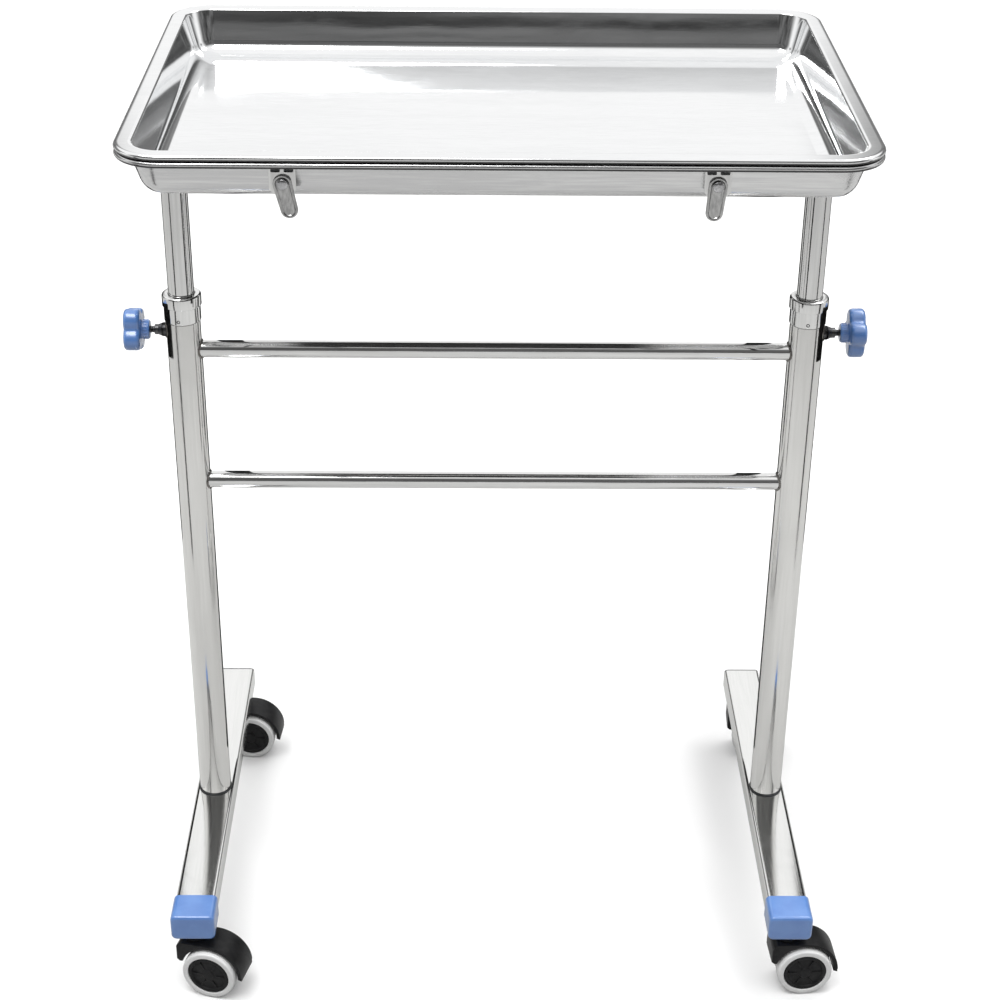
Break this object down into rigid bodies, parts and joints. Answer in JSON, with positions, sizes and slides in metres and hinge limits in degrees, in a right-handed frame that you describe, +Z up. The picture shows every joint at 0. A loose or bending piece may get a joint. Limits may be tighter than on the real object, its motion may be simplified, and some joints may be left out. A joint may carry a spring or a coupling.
{
  "type": "instrument cart",
  "caption": "Height-adjustable steel instrument cart with a lift-out tray on sliding posts, clamp knobs, front latches and swivel twin-wheel casters.",
  "frame": {"origin": "on the floor under the middle of the cart", "axes": "X across the cart, -Y its front with the latches and blue rail caps, +Z up"},
  "size_m": [0.5452, 0.3527, 0.688],
  "materials": {
    "mirror_steel": "mirror-polished stainless steel",
    "satin_steel": "satin stainless steel",
    "polished_tube": "polished stainless tube with fine drawing lines",
    "hardware_steel": "plain steel hardware",
    "blue_plastic": "light blue moulded plastic, half gloss",
    "dark_plastic": "dark grey moulded plastic",
    "caster_black": "black moulded nylon, half gloss",
    "tread_white": "white soft tread",
    "glide_nylon": "natural nylon"
  },
  "bodies": {
    "base": {"base_rail_left": "satin_steel", "rail_cap_front_left": "blue_plastic", "rail_plug_rear_left": "dark_plastic", "post_bolt_left": "hardware_steel", "outer_post_left": "polished_tube", "collar_left": "polished_tube", "base_rail_right": "satin_steel", "rail_cap_front_right": "blue_plastic", "rail_plug_rear_right": "dark_plastic", "post_bolt_right": "hardware_steel", "outer_post_right": "polished_tube", "collar_right": "polished_tube", "upper_crossbar": "polished_tube", "lower_crossbar": "polished_tube", "caster_front_left_stem": "hardware_steel", "caster_front_right_stem": "hardware_steel", "caster_rear_left_stem": "hardware_steel", "caster_rear_right_stem": "hardware_steel"},
    "carriage": {"inner_post_left": "polished_tube", "inner_post_bush_left": "glide_nylon", "post_bracket_left": "satin_steel", "latch_bracket_left": "hardware_steel", "latch_rivet_left": "hardware_steel", "inner_post_right": "polished_tube", "inner_post_bush_right": "glide_nylon", "post_bracket_right": "satin_steel", "latch_bracket_right": "hardware_steel", "latch_rivet_right": "hardware_steel", "tray_holder": "satin_steel"},
    "tray": {"instrument_tray": "mirror_steel"},
    "latch_left": {"latch_lever_left": "polished_tube"},
    "screw_left": {"clamp_screw_left": "hardware_steel"},
    "clamp_knob_left": {"knob_left": "blue_plastic"},
    "latch_right": {"latch_lever_right": "polished_tube"},
    "screw_right": {"clamp_screw_right": "hardware_steel"},
    "clamp_knob_right": {"knob_right": "blue_plastic"},
    "swivel_front_left": {"caster_front_left_hood": "caster_black", "caster_front_left_axle": "hardware_steel"},
    "wheel_front_left_a": {"caster_front_left_tread_a": "tread_white", "caster_front_left_hub_a": "caster_black"},
    "wheel_front_left_b": {"caster_front_left_tread_b": "tread_white", "caster_front_left_hub_b": "caster_black"},
    "swivel_front_right": {"caster_front_right_hood": "caster_black", "caster_front_right_axle": "hardware_steel"},
    "wheel_front_right_a": {"caster_front_right_tread_a": "tread_white", "caster_front_right_hub_a": "caster_black"},
    "wheel_front_right_b": {"caster_front_right_tread_b": "tread_white", "caster_front_right_hub_b": "caster_black"},
    "swivel_rear_left": {"caster_rear_left_hood": "caster_black", "caster_rear_left_axle": "hardware_steel"},
    "wheel_rear_left_a": {"caster_rear_left_tread_a": "tread_white", "caster_rear_left_hub_a": "caster_black"},
    "wheel_rear_left_b": {"caster_rear_left_tread_b": "tread_white", "caster_rear_left_hub_b": "caster_black"},
    "swivel_rear_right": {"caster_rear_right_hood": "caster_black", "caster_rear_right_axle": "hardware_steel"},
    "wheel_rear_right_a": {"caster_rear_right_tread_a": "tread_white", "caster_rear_right_hub_a": "caster_black"},
    "wheel_rear_right_b": {"caster_rear_right_tread_b": "tread_white", "caster_rear_right_hub_b": "caster_black"}
  },
  "joints": [
    {"name": "height_slide", "type": "slide", "parent": "base", "child": "carriage", "axis": [0, 0, 1], "range_m": [-0.12, 0.22]},
    {"name": "tray_lift", "type": "slide", "parent": "carriage", "child": "tray", "axis": [0, 0, 1], "range_m": [0, 0.15]},
    {"name": "left_screw_travel", "type": "slide", "parent": "base", "child": "screw_left", "axis": [-1, 0, 0], "range_m": [0, 0.0016]},
    {"name": "left_knob_turn", "type": "hinge", "parent": "screw_left", "child": "clamp_knob_left", "pos_m": [-0.2666, 0, 0.4935], "axis": [-1, 0, 0], "range_deg": [0, 725]},
    {"name": "right_screw_travel", "type": "slide", "parent": "base", "child": "screw_right", "axis": [1, 0, 0], "range_m": [0, 0.0016]},
    {"name": "right_knob_turn", "type": "hinge", "parent": "screw_right", "child": "clamp_knob_right", "pos_m": [0.2666, 0, 0.4935], "axis": [1, 0, 0], "range_deg": [0, 725]},
    {"name": "left_latch_turn", "type": "hinge", "parent": "carriage", "child": "latch_left", "pos_m": [-0.137, -0.1588, 0.668], "axis": [0, 1, 0], "range_deg": [-87, 113]},
    {"name": "right_latch_turn", "type": "hinge", "parent": "carriage", "child": "latch_right", "pos_m": [0.137, -0.1588, 0.668], "axis": [0, 1, 0], "range_deg": [-105, 95]},
    {"name": "front_left_swivel", "type": "hinge", "parent": "base", "child": "swivel_front_left", "pos_m": [-0.23, -0.153, 0.0465], "axis": [0, 0, 1], "continuous": true},
    {"name": "front_left_wheel_a_spin", "type": "hinge", "parent": "swivel_front_left", "child": "wheel_front_left_a", "pos_m": [-0.21648, -0.15662, 0.0215], "axis": [0.2588, 0.9659, 0], "continuous": true},
    {"name": "front_left_wheel_b_spin", "type": "hinge", "parent": "swivel_front_left", "child": "wheel_front_left_b", "pos_m": [-0.21648, -0.15662, 0.0215], "axis": [0.2588, 0.9659, 0], "continuous": true},
    {"name": "front_right_swivel", "type": "hinge", "parent": "base", "child": "swivel_front_right", "pos_m": [0.23, -0.153, 0.0465], "axis": [0, 0, 1], "continuous": true},
    {"name": "front_right_wheel_a_spin", "type": "hinge", "parent": "swivel_front_right", "child": "wheel_front_right_a", "pos_m": [0.24398, -0.15227, 0.0215], "axis": [-0.0523, 0.9986, 0], "continuous": true},
    {"name": "front_right_wheel_b_spin", "type": "hinge", "parent": "swivel_front_right", "child": "wheel_front_right_b", "pos_m": [0.24398, -0.15227, 0.0215], "axis": [-0.0523, 0.9986, 0], "continuous": true},
    {"name": "rear_left_swivel", "type": "hinge", "parent": "base", "child": "swivel_rear_left", "pos_m": [-0.23, 0.159, 0.0465], "axis": [0, 0, 1], "continuous": true},
    {"name": "rear_left_wheel_a_spin", "type": "hinge", "parent": "swivel_rear_left", "child": "wheel_rear_left_a", "pos_m": [-0.21605, 0.15778, 0.0215], "axis": [0.0872, 0.9962, 0], "continuous": true},
    {"name": "rear_left_wheel_b_spin", "type": "hinge", "parent": "swivel_rear_left", "child": "wheel_rear_left_b", "pos_m": [-0.21605, 0.15778, 0.0215], "axis": [0.0872, 0.9962, 0], "continuous": true},
    {"name": "rear_right_swivel", "type": "hinge", "parent": "base", "child": "swivel_rear_right", "pos_m": [0.23, 0.159, 0.0465], "axis": [0, 0, 1], "continuous": true},
    {"name": "rear_right_wheel_a_spin", "type": "hinge", "parent": "swivel_rear_right", "child": "wheel_rear_right_a", "pos_m": [0.24398, 0.15827, 0.0215], "axis": [0.0523, 0.9986, 0], "continuous": true},
    {"name": "rear_right_wheel_b_spin", "type": "hinge", "parent": "swivel_rear_right", "child": "wheel_rear_right_b", "pos_m": [0.24398, 0.15827, 0.0215], "axis": [0.0523, 0.9986, 0], "continuous": true}
  ],
  "couplings": [
    {"joint": "left_knob_turn", "follows": "left_screw_travel", "rad_per_m": 7854},
    {"joint": "right_knob_turn", "follows": "right_screw_travel", "rad_per_m": 7854}
  ]
}
